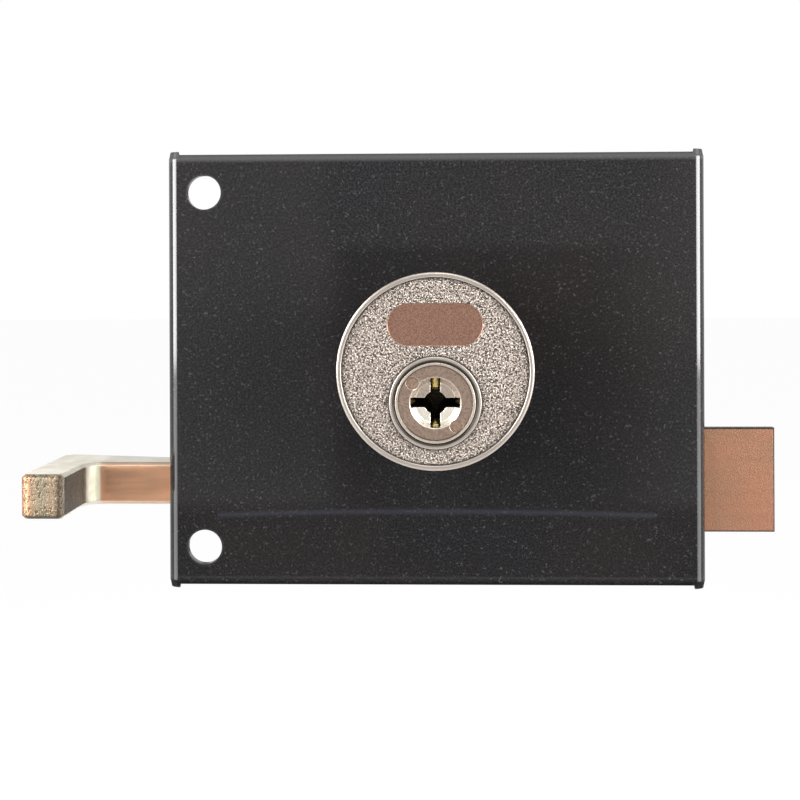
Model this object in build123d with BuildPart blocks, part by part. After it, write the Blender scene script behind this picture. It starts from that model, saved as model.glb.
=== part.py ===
from build123d import *
import os
from math import cos, degrees, hypot, pi, radians, sin, sqrt

# A rim lock: a folded steel case with a round key cylinder on its face, a sprung latch bolt on its
# right and a bent draw bar on its left. X runs from the draw bar towards the latch and Z is up.
# The door face is the plane Y = 0, and the room is on the -Y side. A depth below is a distance
# from the door face towards the room, so the visible face of the case lies at case_depth.
# All sizes are in millimetres.

# Case
case_width = 100.8
case_height = 81.0
case_depth = 20.0
face_sheet = 1.5
face_bend = 2.2
left_lip = 4.5
edge_round = 1.0
bulge_height = 0.5
bulge_reach = 2.6
bulge_taper_degrees = 12.0
fixing_side_inset = 7.0
fixing_end_inset = 7.2
fixing_radius = 3.2

# Lap of the latch-side wall on the edge of the door
lap_length = 14.0
lap_height = 62.0
lap_round = 3.0
lap_hole_inset = 7.0
lap_hole_radius = 2.25
lap_hole_spacing = 40.0

# Cover
cover_sheet = 1.2
cover_gap = 0.1
cover_drop = 0.2
cover_bend = 1.8
cover_edge_round = 0.9
notch_margin_x = 1.2
notch_margin_z = 0.2

# Posts and screws that hold the cover
post_radius = 3.2
post_left_inset = 23.4
post_right_inset = 20.4
post_end_inset = 5.5
cover_screw_radius = 1.4
cover_screw_length = 9.0
screw_slot_width = 0.7
screw_slot_depth = 0.6
countersink_degrees = 45.0

# Key cylinder
housing_radius = 17.0
housing_length = 20.0
housing_z = 1.0
housing_rim = 0.85
housing_edge_round = 0.35
face_recess = 0.5
mouth_relief = 0.25
spigot_radius = 9.2
spigot_length = 3.5
badge_width = 16.5
badge_height = 7.4
badge_rise = 8.0
badge_recess = 0.3
backing_sheet = 1.5
backing_width = 36.0
backing_height = 24.0
backing_rise = 1.0
housing_screw_x = 12.0
housing_screw_rise = 7.0
housing_screw_radius = 1.7
housing_screw_length = 10.0
housing_screw_head_radius = 3.2
housing_screw_head_height = 2.0

# Key plug
plug_drop = 5.4
plug_radius = 6.9
plug_ring_radius = 7.9
plug_rim = 0.45
plug_face_recess = 0.25
keyway_arm = 4.25
keyway_width = 1.7
keyway_core_radius = 2.0
keyway_depth = 20.0
dish_radius = 4.4
dish_depth = 0.9
dish_taper_degrees = 45.0
clip_groove_depth = 0.8
clip_thickness = 0.7
clip_height = 1.5
clip_opening = 5.0
clip_shoulder = 0.75
face_pin_radius = 1.1
face_pin_length = 6.0
face_pin_places = ((-3.9, 3.4), (3.6, -4.0))

# Pin tumblers: four rows around the plug, each with a key pin, a driver and a spring in a chamber
tumbler_radius = 1.2
tumbler_rows = 3
row_step_degrees = 90
tip_degrees = 45.0
tumbler_pitch = 4.0
tumbler_first = 4.0
chamber_wall = 0.9
tumbler_spring_wall = 0.3
top_tip = 2.0
side_tip = 3.5
bottom_tip = 3.4
driver_share = 0.45

# Cam and retractor
tail_radius = 3.5
cam_radius = 9.55
cam_thickness = 2.5
cam_back = 3.9
cam_hub_radius = 5.2
cam_tip_radius = 3.0
cam_pin_radius = 2.0
cam_rest_degrees = 45.0
cam_turn_degrees = 90.0
retractor_back = 1.5
retractor_sheet = 1.8
retractor_left = -24.0
retractor_right = 33.5
retractor_top = -3.8
retractor_bottom = -18.4
retractor_corner = 2.0
retractor_slack = 0.4
stud_z = -7.0
stud_left_x = -20.0
stud_right_x = 16.6
stud_radius = 1.8
stud_head_radius = 3.2
stud_head_height = 1.0
stud_shank_radius = 1.5
finger_width = 8.7
finger_overlap = 0.4

# Latch bolt and its guide
latch_height = 19.6
latch_length = 35.7
latch_throw = 13.3
latch_rise = 1.1
latch_front_gap = 1.5
latch_plate_sheet = 2.0
latch_plate_crop = 6.0
latch_block_height = 17.0
latch_nose_flat = 1.0
latch_edge = 0.25
latch_socket = 14.0
latch_pin_radius = 1.5
latch_pin_pitch = 6.5
latch_pin_inset = 0.2
guide_length = 11.4
guide_sheet = 1.2
guide_foot = 5.0
guide_gap = 0.15

# Draw bar, its collar and its spring
bar_height = 8.0
bar_latch_share = 2 / 3
bar_bend = 3.5
bar_edge = 0.6
stem_overhang = 20.6
stem_reach = 30.5
stem_end_round = 1.6
heel_back = 2.5
heel_run = 22.0
heel_round = 2.5
collar_x = -14.0
collar_length = 5.0
collar_margin = 0.65
collar_gap = 0.19
collar_pin_radius = 1.25
collar_pin_inset = 0.3
finger_gap = 0.3
seat_thickness = 1.0
spring_wire_radius = 0.4
spring_turns = 9

# Fits and cuts
running_gap = 0.05
slide_gap = 0.35
thread_gap = 0.05
overrun = 1.0

# Places worked out from the sizes above
case_left = -case_width / 2
case_right = case_width / 2
face_inside = case_depth - face_sheet
cover_left = case_left + face_bend + cover_gap
cover_right = case_right - face_bend - cover_gap
cover_half_height = case_height / 2 - cover_drop
fixing_x = case_left + fixing_side_inset
fixing_z = case_height / 2 - fixing_end_inset
notch_x = fixing_x + fixing_radius + notch_margin_x
notch_z = fixing_z - fixing_radius - notch_margin_z
fixing_places = [(fixing_x, fixing_z), (fixing_x, -fixing_z)]
post_z = case_height / 2 - post_end_inset
post_places = [
    (x, z) for x in (case_left + post_left_inset, case_right - post_right_inset) for z in (post_z, -post_z)
]
cylinder_face = case_depth + housing_length
plug_z = housing_z - plug_drop
clip_seat = case_depth - spigot_length - running_gap
plug_back = clip_seat - clip_thickness - clip_shoulder
housing_screw_places = [(side * housing_screw_x, housing_z + housing_screw_rise) for side in (-1, 1)]
travel = 2 * cam_radius * sin(radians(cam_rest_degrees))
cam_front = cam_back + cam_thickness
cam_pin_x = cam_radius * sin(radians(cam_rest_degrees))
cam_pin_z = plug_z - cam_radius * cos(radians(cam_rest_degrees))
cam_pin_lowest = plug_z - cam_radius
yoke_swerve = max(
    abs(cam_radius * sin(radians(angle)) - travel * angle / cam_turn_degrees)
    for angle in range(-round(cam_rest_degrees), round(cam_rest_degrees) + 1)
)
retractor_front = retractor_back + retractor_sheet
latch_back = retractor_front + guide_gap + guide_sheet + slide_gap
latch_thickness = face_inside - latch_front_gap - latch_back
latch_middle = latch_back + latch_thickness / 2
latch_plate_back = latch_back + latch_thickness - latch_plate_sheet
latch_nose_x = case_right + latch_throw
latch_tail_x = latch_nose_x - latch_length
bar_thickness = bar_latch_share * latch_thickness
bar_back = latch_plate_back - bar_thickness
bar_middle = bar_back + bar_thickness / 2
collar_radius = hypot(bar_thickness, bar_height) / 2 + collar_margin
bar_z = -(notch_z - cover_sheet - collar_gap - collar_radius)
latch_z = bar_z + latch_rise
stem_x = case_left - stem_overhang
finger_x = collar_x + collar_length + finger_gap
finger_drop = retractor_bottom - (bar_z - collar_radius - finger_overlap)
spring_start_x = cover_left + cover_sheet + seat_thickness
print(f"latch travel {travel:.2f} mm, yoke swerve {yoke_swerve:.2f} mm")

os.makedirs("parts", exist_ok=True)


def at_depth(depth):
    """The plane parallel to the case's face at a depth. Extruding from it goes towards the room."""
    return Plane.XZ.offset(depth)


def across(x):
    """The plane square to X at x, where a place is (Y, Z). Extruding from it goes towards +X."""
    return Plane.YZ.offset(x)


def radial(angle_degrees, depth, radius):
    """The plane square to a ray from the plug's axis, at an angle above +X, a depth and a radius."""
    direction = Vector(cos(radians(angle_degrees)), 0, sin(radians(angle_degrees)))
    return Plane(origin=Vector(0, -depth, plug_z) + direction * radius, z_dir=direction)


def finish(builder, name):
    """Labels a finished piece and writes it under its own name."""
    builder.part.label = name
    export_step(builder.part, f"parts/{name}.step")


# Face plate: one steel sheet folded back at both sides, short on the left and deep on the right,
# where it carries the latch opening and laps round the edge of the door.
with BuildSketch(Plane.XY) as folded_section:
    with BuildLine():
        FilletPolyline(
            (case_left + face_sheet / 2, left_lip - case_depth),
            (case_left + face_sheet / 2, face_sheet / 2 - case_depth),
            (case_right - face_sheet / 2, face_sheet / 2 - case_depth),
            (case_right - face_sheet / 2, lap_length),
            radius=face_bend - face_sheet / 2,
        )
    trace(line_width=face_sheet)

with BuildPart() as face_plate:
    with BuildSketch(Plane.XY):
        add(folded_section.sketch)
    extrude(amount=case_height / 2)
    top_edges = face_plate.edges().filter_by(Axis.X).group_by(Axis.Z)[-1]
    fillet(top_edges.sort_by(Axis.Y)[0], radius=edge_round)
    for side in (-1, 1):
        with BuildSketch(Plane.XY.offset(case_height / 2 - edge_round)):
            add(folded_section.sketch)
            with Locations((side * case_width / 2, -case_depth)):
                Circle(bulge_reach, mode=Mode.INTERSECT)
        extrude(amount=edge_round + bulge_height, taper=bulge_taper_degrees)
    mirror(about=Plane.XY)
    with BuildSketch(across(case_right)):
        with Locations(((lap_length + overrun) / 2, 0)):
            Rectangle(lap_length + overrun, case_height + 2 * overrun)
        RectangleRounded(2 * lap_length, lap_height, lap_round, mode=Mode.SUBTRACT)
    extrude(amount=-2 * face_sheet, mode=Mode.SUBTRACT)
    with BuildSketch(across(case_right)):
        with Locations((lap_hole_inset, lap_hole_spacing / 2), (lap_hole_inset, -lap_hole_spacing / 2)):
            Circle(lap_hole_radius)
        with Locations((-latch_middle, latch_z)):
            Rectangle(latch_thickness + 2 * slide_gap, latch_height + 2 * slide_gap)
    extrude(amount=-2 * face_sheet, mode=Mode.SUBTRACT)
    with BuildSketch(at_depth(case_depth)):
        with Locations(*fixing_places):
            Circle(fixing_radius)
        with Locations((0, plug_z)):
            Circle(spigot_radius + running_gap)
        with Locations(*housing_screw_places):
            Circle(housing_screw_radius + thread_gap)
    extrude(amount=-2 * face_sheet, mode=Mode.SUBTRACT)
finish(face_plate, "face_plate")


# Back cover: a pressed steel tray that closes the case against the door. Its two left corners are
# notched, so that the fixing screws pass beside it, and its right side is shut by the face plate.
def tray_outline(inset, right):
    """Draws the tray's outline in the open sketch, inset from its outside, up to x = right."""
    left = cover_left + inset
    top = cover_half_height - inset
    with Locations(((left + right) / 2, 0)):
        Rectangle(right - left, 2 * top)
    for side in (-1, 1):
        with Locations((notch_x + inset, side * (notch_z - inset))):
            Rectangle(
                notch_x + inset - left + overrun,
                top - notch_z + inset + overrun,
                align=(Align.MAX, Align.MIN if side > 0 else Align.MAX),
                mode=Mode.SUBTRACT,
            )


with BuildPart() as back_cover:
    with BuildSketch(at_depth(0)) as tray_sketch:
        tray_outline(0, cover_right)
        fillet(tray_sketch.vertices().group_by(Axis.X)[0], radius=cover_bend)
    extrude(amount=face_inside)
    door_edges = back_cover.faces().sort_by(Axis.Y)[-1].edges().sort_by(Axis.X)[:-1]
    fillet(door_edges, radius=cover_edge_round)
    with BuildSketch(at_depth(cover_sheet)):
        tray_outline(cover_sheet, cover_right + overrun)
    extrude(amount=face_inside, mode=Mode.SUBTRACT)
    with BuildSketch(across(cover_left)):
        with Locations((-bar_middle, bar_z)):
            Rectangle(bar_thickness + 2 * slide_gap, bar_height + 2 * slide_gap)
    extrude(amount=cover_sheet, mode=Mode.SUBTRACT)
    with BuildSketch(at_depth(0)):
        with Locations(*post_places):
            Circle(cover_screw_radius + cover_sheet + thread_gap)
    extrude(amount=cover_sheet, taper=countersink_degrees, mode=Mode.SUBTRACT)
    with BuildSketch(at_depth(0)):
        with Locations((stud_left_x, stud_z), (stud_right_x, stud_z)):
            Circle(stud_shank_radius)
    extrude(amount=cover_sheet, mode=Mode.SUBTRACT)
finish(back_cover, "back_cover")

# Cover posts: four turned pillars, projection-welded to the back of the face plate and tapped for
# the cover screws.
with BuildPart() as cover_posts:
    with BuildSketch(at_depth(cover_sheet)):
        with Locations(*post_places):
            Circle(post_radius)
    extrude(amount=face_inside - cover_sheet)
    with BuildSketch(at_depth(cover_sheet)):
        with Locations(*post_places):
            Circle(cover_screw_radius + thread_gap)
    extrude(amount=cover_screw_length, mode=Mode.SUBTRACT)
finish(cover_posts, "cover_posts")

# Cover screws: countersunk and slotted, flush with the door face.
with BuildPart() as cover_screws:
    with BuildSketch(at_depth(0)):
        with Locations(*post_places):
            Circle(cover_screw_radius + cover_sheet)
    extrude(amount=cover_sheet, taper=countersink_degrees)
    with BuildSketch(at_depth(cover_sheet)):
        with Locations(*post_places):
            Circle(cover_screw_radius)
    extrude(amount=cover_screw_length - overrun)
    with BuildSketch(at_depth(0)):
        with Locations(*post_places):
            Rectangle(2 * (cover_screw_radius + cover_sheet), screw_slot_width)
    extrude(amount=screw_slot_depth, mode=Mode.SUBTRACT)
finish(cover_screws, "cover_screws")


# Chamber rows: each has its angle above +X, the radius of its key pins' tips and its chamber's end.
def chamber_end(angle_degrees):
    """The radius from the plug's axis at which a row's chambers end, inside the housing's wall."""
    rise = plug_drop * sin(radians(angle_degrees))
    across_row = plug_drop * cos(radians(angle_degrees))
    return rise + sqrt(housing_radius**2 - across_row**2) - chamber_wall


row_tips = {
    row_step_degrees: top_tip,
    0: side_tip,
    2 * row_step_degrees: side_tip,
    3 * row_step_degrees: bottom_tip,
}
tumbler_depths = [cylinder_face - tumbler_first - step * tumbler_pitch for step in range(tumbler_rows)]
tumbler_places = [(angle, depth) for angle in row_tips for depth in tumbler_depths]


def driver_end(angle_degrees):
    """The radius at which a row's driver pins end and their springs start."""
    chamber = chamber_end(angle_degrees) - plug_radius
    return plug_radius + running_gap + driver_share * chamber


# Cylinder housing: a die-cast barrel with a raised rim, a grained face, a bare smooth badge and a
# raised ring round the plug. Its spigot passes through the face plate.
with BuildPart() as cylinder_housing:
    with BuildSketch(at_depth(case_depth)):
        with Locations((0, housing_z)):
            Circle(housing_radius)
    extrude(amount=housing_length)
    front_rim = cylinder_housing.edges().sort_by(Axis.Y)[0]
    fillet(front_rim, radius=housing_edge_round)
    with BuildSketch(at_depth(case_depth - spigot_length)):
        with Locations((0, plug_z)):
            Circle(spigot_radius)
    extrude(amount=spigot_length)
    with BuildSketch(at_depth(cylinder_face)):
        with Locations((0, housing_z)):
            Circle(housing_radius - housing_rim)
        with Locations((0, plug_z)):
            Circle(plug_ring_radius, mode=Mode.SUBTRACT)
    extrude(amount=-face_recess, mode=Mode.SUBTRACT)
    with BuildSketch(at_depth(cylinder_face - face_recess)):
        with Locations((0, housing_z + badge_rise)):
            SlotOverall(badge_width, badge_height)
    extrude(amount=-badge_recess, mode=Mode.SUBTRACT)
    with BuildSketch(at_depth(cylinder_face)):
        with Locations((0, plug_z)):
            Circle(plug_radius + mouth_relief)
    extrude(amount=-face_recess, mode=Mode.SUBTRACT)
    with BuildSketch(at_depth(cylinder_face)):
        with Locations((0, plug_z)):
            Circle(plug_radius + running_gap)
    extrude(amount=-(housing_length + spigot_length), mode=Mode.SUBTRACT)
    for angle, depth in tumbler_places:
        with BuildSketch(radial(angle, depth, plug_radius - overrun)):
            Circle(tumbler_radius + running_gap)
        extrude(amount=chamber_end(angle) - plug_radius + overrun, mode=Mode.SUBTRACT)
    with BuildSketch(at_depth(case_depth)):
        with Locations(*housing_screw_places):
            Circle(housing_screw_radius + thread_gap)
    extrude(amount=housing_screw_length, mode=Mode.SUBTRACT)
finish(cylinder_housing, "cylinder_housing")

# Cylinder saddle: a plate inside the case that the housing screws pull against.
with BuildPart() as cylinder_saddle:
    with BuildSketch(at_depth(face_inside)):
        with Locations((0, housing_z + backing_rise)):
            Rectangle(backing_width, backing_height)
        with Locations((0, plug_z)):
            Circle(spigot_radius + running_gap, mode=Mode.SUBTRACT)
        with Locations(*housing_screw_places):
            Circle(housing_screw_radius + thread_gap, mode=Mode.SUBTRACT)
    extrude(amount=-backing_sheet)
finish(cylinder_saddle, "cylinder_saddle")

# Housing screws: two slotted cheese-head screws from inside the case into the cylinder housing.
screw_seat = face_inside - backing_sheet
with BuildPart() as housing_screws:
    with BuildSketch(at_depth(screw_seat)):
        with Locations(*housing_screw_places):
            Circle(housing_screw_radius)
    extrude(amount=backing_sheet + face_sheet + housing_screw_length - overrun)
    with BuildSketch(at_depth(screw_seat)):
        with Locations(*housing_screw_places):
            Circle(housing_screw_head_radius)
    extrude(amount=-housing_screw_head_height)
    with BuildSketch(at_depth(screw_seat - housing_screw_head_height)):
        with Locations(*housing_screw_places):
            Rectangle(2 * housing_screw_head_radius, screw_slot_width)
    extrude(amount=screw_slot_depth, mode=Mode.SUBTRACT)
finish(housing_screws, "housing_screws")

# Driver pins and their springs, in the housing. The springs are drawn as closed sleeves.
with BuildPart() as driver_pins:
    for angle, depth in tumbler_places:
        with BuildSketch(radial(angle, depth, plug_radius + running_gap)):
            Circle(tumbler_radius)
        extrude(amount=driver_end(angle) - plug_radius - running_gap)
finish(driver_pins, "driver_pins")

with BuildPart() as driver_springs:
    for angle, depth in tumbler_places:
        with BuildSketch(radial(angle, depth, driver_end(angle))):
            Circle(tumbler_radius - running_gap)
            Circle(tumbler_radius - running_gap - tumbler_spring_wall, mode=Mode.SUBTRACT)
        extrude(amount=chamber_end(angle) - driver_end(angle))
finish(driver_springs, "driver_springs")

# Plug: turns in the housing. A dish in its face leads the key into the cross-shaped keyway, and its
# tail carries the cam.
with BuildPart() as plug:
    with BuildSketch(at_depth(plug_back)):
        with Locations((0, plug_z)):
            Circle(plug_radius)
    extrude(amount=cylinder_face - plug_back)
    with BuildSketch(at_depth(cam_back)):
        with Locations((0, plug_z)):
            Circle(tail_radius)
    extrude(amount=plug_back - cam_back)
    with BuildSketch(at_depth(clip_seat)):
        with Locations((0, plug_z)):
            Circle(plug_radius + overrun)
            Circle(plug_radius - clip_groove_depth, mode=Mode.SUBTRACT)
    extrude(amount=-clip_thickness, mode=Mode.SUBTRACT)
    with BuildSketch(at_depth(cylinder_face)):
        with Locations((0, plug_z)):
            Circle(plug_radius - plug_rim)
    extrude(amount=-plug_face_recess, mode=Mode.SUBTRACT)
    with BuildSketch(at_depth(cylinder_face - plug_face_recess)):
        with Locations((0, plug_z)):
            Circle(dish_radius)
    extrude(amount=-dish_depth, taper=dish_taper_degrees, mode=Mode.SUBTRACT)
    with BuildSketch(at_depth(cylinder_face)):
        with Locations((0, plug_z)):
            Rectangle(2 * keyway_arm, keyway_width)
            Rectangle(keyway_width, 2 * keyway_arm)
            Circle(keyway_core_radius)
    extrude(amount=-keyway_depth, mode=Mode.SUBTRACT)
    for angle, depth in tumbler_places:
        with BuildSketch(radial(angle, depth, row_tips[angle])):
            Circle(tumbler_radius + running_gap)
        extrude(amount=plug_radius + overrun - row_tips[angle], mode=Mode.SUBTRACT)
    with BuildSketch(at_depth(cylinder_face)):
        with Locations(*[(x, plug_z + z) for x, z in face_pin_places]):
            Circle(face_pin_radius)
    extrude(amount=-face_pin_length - plug_face_recess, mode=Mode.SUBTRACT)
finish(plug, "plug")

# Face pins: two hardened pins staked in the plug's face against drilling.
with BuildPart() as face_pins:
    with BuildSketch(at_depth(cylinder_face - 2 * plug_face_recess)):
        with Locations(*[(x, plug_z + z) for x, z in face_pin_places]):
            Circle(face_pin_radius)
    extrude(amount=plug_face_recess - face_pin_length)
finish(face_pins, "face_pins")

# Key pins: in the plug, each ending just under the plug's surface and pointed into the keyway.
key_pin_end = sqrt(plug_radius**2 - tumbler_radius**2)
with BuildPart() as key_pins:
    for angle, depth in tumbler_places:
        with BuildSketch(radial(angle, depth, row_tips[angle] + tumbler_radius / 2)):
            Circle(tumbler_radius)
        extrude(amount=key_pin_end - row_tips[angle] - tumbler_radius / 2)
        with BuildSketch(radial(angle, depth, row_tips[angle] + tumbler_radius / 2)):
            Circle(tumbler_radius)
        extrude(amount=-tumbler_radius / 2, taper=tip_degrees)
finish(key_pins, "key_pins")

# Plug clip: an open spring ring in the plug's groove, behind the housing's spigot.
with BuildPart() as plug_clip:
    with BuildSketch(at_depth(clip_seat)):
        with Locations((0, plug_z)):
            Circle(plug_radius + clip_height)
            Circle(plug_radius - clip_groove_depth, mode=Mode.SUBTRACT)
            Rectangle(
                clip_opening, plug_radius + clip_height + overrun,
                align=(Align.CENTER, Align.MIN), mode=Mode.SUBTRACT,
            )
    extrude(amount=-clip_thickness)
finish(plug_clip, "plug_clip")

# Cam: an arm staked on the plug's tail. At rest it points down and towards the latch.
with BuildPart() as cam_arm:
    with BuildSketch(at_depth(cam_back)):
        with Locations((0, plug_z)):
            Circle(cam_hub_radius)
        with Locations((cam_pin_x, cam_pin_z)):
            Circle(cam_tip_radius)
        make_hull()
        with Locations((0, plug_z)):
            Circle(tail_radius, mode=Mode.SUBTRACT)
        with Locations((cam_pin_x, cam_pin_z)):
            Circle(cam_pin_radius, mode=Mode.SUBTRACT)
    extrude(amount=cam_thickness)
finish(cam_arm, "cam_arm")

with BuildPart() as cam_pin:
    with BuildSketch(at_depth(retractor_back)):
        with Locations((cam_pin_x, cam_pin_z)):
            Circle(cam_pin_radius)
    extrude(amount=cam_front - retractor_back)
finish(cam_pin, "cam_pin")

# Retractor: a plate that slides on two studs behind the latch. The cam's pin works in its upright
# slot, and its folded finger pushes the draw bar's collar.
yoke_width = 2 * (cam_pin_radius + yoke_swerve + retractor_slack / 2)
yoke_top = cam_pin_z + cam_pin_radius + retractor_slack
yoke_bottom = cam_pin_lowest - cam_pin_radius - retractor_slack
with BuildPart() as retractor:
    with BuildSketch(at_depth(retractor_back)) as retractor_outline:
        with Locations(((retractor_left + retractor_right) / 2, (retractor_top + retractor_bottom) / 2)):
            Rectangle(retractor_right - retractor_left, retractor_top - retractor_bottom)
        with Locations((finger_x, retractor_bottom)):
            Rectangle(finger_width, finger_drop, align=(Align.MIN, Align.MAX))
        fillet(retractor_outline.vertices().group_by(Axis.X)[0], radius=retractor_corner)
        fillet(retractor_outline.vertices().group_by(Axis.X)[-1], radius=retractor_corner)
        with Locations((cam_pin_x, (yoke_top + yoke_bottom) / 2)):
            Rectangle(yoke_width, yoke_top - yoke_bottom, mode=Mode.SUBTRACT)
        for stud_x in (stud_left_x, stud_right_x):
            with Locations((stud_x + travel / 2, stud_z)):
                SlotCenterToCenter(
                    travel + retractor_slack, 2 * stud_radius + retractor_slack, mode=Mode.SUBTRACT
                )
    extrude(amount=retractor_sheet)
    with BuildSketch(at_depth(retractor_back)):
        with Locations((finger_x, retractor_bottom)):
            Rectangle(retractor_sheet, finger_drop, align=(Align.MIN, Align.MAX))
    extrude(amount=bar_back - slide_gap - retractor_back)
finish(retractor, "retractor")

# Retractor studs: shouldered rivets in the back cover.
with BuildPart() as retractor_studs:
    stud_places = [(stud_left_x, stud_z), (stud_right_x, stud_z)]
    with BuildSketch(at_depth(0)):
        with Locations(*stud_places):
            Circle(stud_shank_radius)
    extrude(amount=cover_sheet)
    with BuildSketch(at_depth(cover_sheet)):
        with Locations(*stud_places):
            Circle(stud_radius)
    extrude(amount=retractor_front + slide_gap / 2 - cover_sheet)
    with BuildSketch(at_depth(retractor_front + slide_gap / 2)):
        with Locations(*stud_places):
            Circle(stud_head_radius)
    extrude(amount=stud_head_height)
finish(retractor_studs, "retractor_studs")

# Latch bolt: a solid block, bevelled on its door side, with a socket for the draw bar's end.
latch_bevel = latch_thickness - latch_plate_sheet - latch_nose_flat
with BuildPart() as latch_bolt:
    with BuildSketch(Plane.XY.offset(latch_z - latch_block_height / 2)):
        with BuildLine():
            Polyline(
                (latch_tail_x, -latch_back),
                (latch_nose_x - latch_bevel, -latch_back),
                (latch_nose_x, -latch_back - latch_bevel),
                (latch_nose_x, -latch_plate_back),
                (latch_tail_x, -latch_plate_back),
                close=True,
            )
        make_face()
    extrude(amount=latch_block_height)
    with BuildSketch(across(latch_tail_x)):
        with Locations((-bar_middle, bar_z)):
            Rectangle(bar_thickness + 2 * running_gap, bar_height + 2 * running_gap)
    extrude(amount=latch_socket + running_gap, mode=Mode.SUBTRACT)
    with BuildSketch(at_depth(latch_back)):
        with Locations((latch_tail_x + latch_socket / 2, bar_z)):
            with GridLocations(latch_pin_pitch, 0, 2, 1):
                Circle(latch_pin_radius)
    extrude(amount=latch_thickness, mode=Mode.SUBTRACT)
finish(latch_bolt, "latch_bolt")

# Latch plate: a flat plate pinned on the bolt's room side, a little taller than the bolt. Its tail
# corners are cropped, so that the drawn bolt clears the key cylinder.
with BuildPart() as latch_plate:
    with BuildSketch(at_depth(latch_plate_back)) as plate_outline:
        with Locations((latch_tail_x, latch_z)):
            Rectangle(latch_length, latch_height, align=(Align.MIN, Align.CENTER))
        chamfer(plate_outline.vertices().group_by(Axis.X)[0], length=latch_plate_crop)
    extrude(amount=latch_plate_sheet)
    outer_edges = latch_plate.faces().sort_by(Axis.Y)[0].edges()
    chamfer(outer_edges, length=latch_edge)
    with BuildSketch(at_depth(latch_plate_back)):
        with Locations((latch_tail_x + latch_socket / 2, bar_z)):
            with GridLocations(latch_pin_pitch, 0, 2, 1):
                Circle(latch_pin_radius)
    extrude(amount=latch_plate_sheet, mode=Mode.SUBTRACT)
finish(latch_plate, "latch_plate")

# Latch pins: two pins through the plate, the bolt and the end of the draw bar.
with BuildPart() as latch_pins:
    with BuildSketch(at_depth(latch_back + latch_pin_inset)):
        with Locations((latch_tail_x + latch_socket / 2, bar_z)):
            with GridLocations(latch_pin_pitch, 0, 2, 1):
                Circle(latch_pin_radius)
    extrude(amount=latch_thickness - 2 * latch_pin_inset)
finish(latch_pins, "latch_pins")

# Draw bar: a square steel bar, bent towards the room outside the case to be pulled by hand. It
# swells towards the door up to the heel of the bend.
bar_front = bar_back + bar_thickness
stem_left = stem_x - bar_thickness / 2
stem_right = stem_x + bar_thickness / 2
with BuildPart() as draw_bar:
    with BuildSketch(Plane.XY.offset(bar_z - bar_height / 2)) as bar_section:
        with BuildLine():
            Polyline(
                (latch_tail_x + latch_socket, -bar_back),
                (stem_left + heel_run, -bar_back),
                (stem_left, -heel_back),
                (stem_left, -stem_reach),
                (stem_right, -stem_reach),
                (stem_right, -bar_front),
                (latch_tail_x + latch_socket, -bar_front),
                close=True,
            )
        make_face()
        fillet(bar_section.vertices().group_by(Axis.Y)[0], radius=stem_end_round)
        fillet(bar_section.vertices().sort_by(Axis.Y)[-1], radius=heel_round)
        fillet(bar_section.vertices().sort_by_distance((stem_right, -bar_front))[0], radius=bar_bend)
    extrude(amount=bar_height)
    long_edges = draw_bar.faces().filter_by(Axis.Z).edges()
    chamfer(long_edges, length=bar_edge)
    with BuildSketch(at_depth(bar_back)):
        with Locations((latch_tail_x + latch_socket / 2, bar_z)):
            with GridLocations(latch_pin_pitch, 0, 2, 1):
                Circle(latch_pin_radius)
    extrude(amount=bar_thickness, mode=Mode.SUBTRACT)
    with BuildSketch(Plane.XY.offset(bar_z - bar_height / 2)):
        with Locations((collar_x + collar_length / 2, -bar_middle)):
            Circle(collar_pin_radius)
    extrude(amount=bar_height, mode=Mode.SUBTRACT)
finish(draw_bar, "draw_bar")

# Collar: a round stop pinned to the draw bar. The spring pushes it and the retractor pulls it.
with BuildPart() as collar:
    with BuildSketch(across(collar_x)):
        with Locations((-bar_middle, bar_z)):
            Circle(collar_radius)
            Rectangle(bar_thickness + 2 * running_gap, bar_height + 2 * running_gap, mode=Mode.SUBTRACT)
    extrude(amount=collar_length)
    with BuildSketch(Plane.XY.offset(bar_z - collar_radius)):
        with Locations((collar_x + collar_length / 2, -bar_middle)):
            Circle(collar_pin_radius)
    extrude(amount=2 * collar_radius, mode=Mode.SUBTRACT)
finish(collar, "collar")

with BuildPart() as collar_pin:
    with BuildSketch(Plane.XY.offset(bar_z - collar_radius + collar_pin_inset)):
        with Locations((collar_x + collar_length / 2, -bar_middle)):
            Circle(collar_pin_radius)
    extrude(amount=2 * (collar_radius - collar_pin_inset))
finish(collar_pin, "collar_pin")

# Spring seat: a loose washer on the draw bar against the left wall of the cover.
with BuildPart() as spring_seat:
    with BuildSketch(across(cover_left + cover_sheet)):
        with Locations((-bar_middle, bar_z)):
            Circle(collar_radius)
            Rectangle(bar_thickness + 2 * slide_gap, bar_height + 2 * slide_gap, mode=Mode.SUBTRACT)
    extrude(amount=seat_thickness)
finish(spring_seat, "spring_seat")

# Latch spring: a coil round the draw bar, between the seat and the collar. Its least gap to itself
# is its pitch less its wire.
spring_length = collar_x - spring_start_x - 2 * spring_wire_radius
spring_pitch = spring_length / spring_turns
spring_radius = collar_radius - spring_wire_radius
with BuildPart() as latch_spring:
    with BuildLine() as coil:
        Helix(
            pitch=spring_pitch, height=spring_length, radius=spring_radius,
            center=(spring_start_x + spring_wire_radius, -bar_middle, bar_z), direction=(1, 0, 0),
        )
    with BuildSketch(Plane(origin=coil.line @ 0, z_dir=coil.line % 0)):
        Circle(spring_wire_radius)
    sweep(path=coil.line, is_frenet=True)
print(f"latch spring gap to itself {spring_pitch - 2 * spring_wire_radius:.2f} mm")
finish(latch_spring, "latch_spring")

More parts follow.
